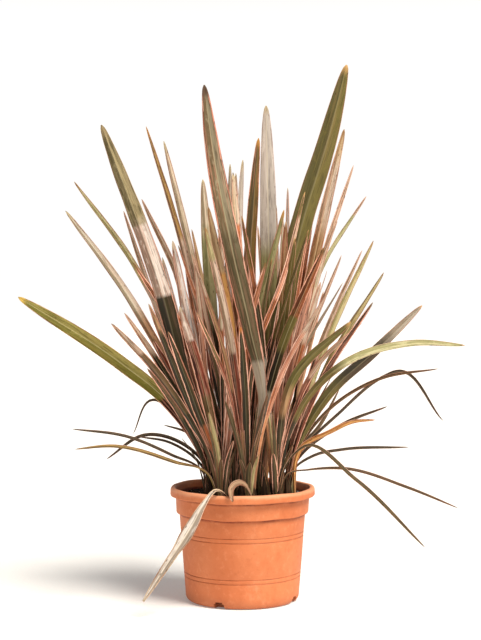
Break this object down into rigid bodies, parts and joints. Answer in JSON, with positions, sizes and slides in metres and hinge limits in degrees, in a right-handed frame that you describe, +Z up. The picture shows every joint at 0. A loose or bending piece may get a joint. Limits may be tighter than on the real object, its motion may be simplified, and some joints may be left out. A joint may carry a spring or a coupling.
{
  "type": "potted new zealand flax",
  "caption": "Upright clump of folded sword-shaped leaves in leafy shoots, standing in potting mix in a round plastic nursery pot with a rolled rim and drain notches.",
  "frame": {"origin": "middle of the pot's underside, on the surface it stands on", "axes": "+Z up along the pot's axis, -Y toward the front of the picture, +X to its right"},
  "size_m": [0.7329, 0.358, 0.8776],
  "materials": {
    "pot_plastic": "matte terracotta-coloured plastic, lightly scuffed",
    "potting_mix": "dark crumbly bark and peat mix",
    "flax_leaf": "bronze-olive leaf with coral margins, satin",
    "dead_leaf": "dry cream and tan leaf, matte"
  },
  "bodies": {
    "root": {"pot": "pot_plastic", "soil": "potting_mix", "shoot_front_left": "flax_leaf", "shoot_front": "flax_leaf", "shoot_front_right": "flax_leaf", "shoot_left": "flax_leaf", "shoot_mid_left": "flax_leaf", "shoot_mid_right": "flax_leaf", "shoot_right": "flax_leaf", "shoot_back_left": "flax_leaf", "shoot_back": "flax_leaf", "shoot_back_right": "flax_leaf", "dead_leaf_over_rim": "dead_leaf", "dead_leaf_curled": "dead_leaf", "dead_leaf_fallen": "dead_leaf"}
  },
  "joints": []
}
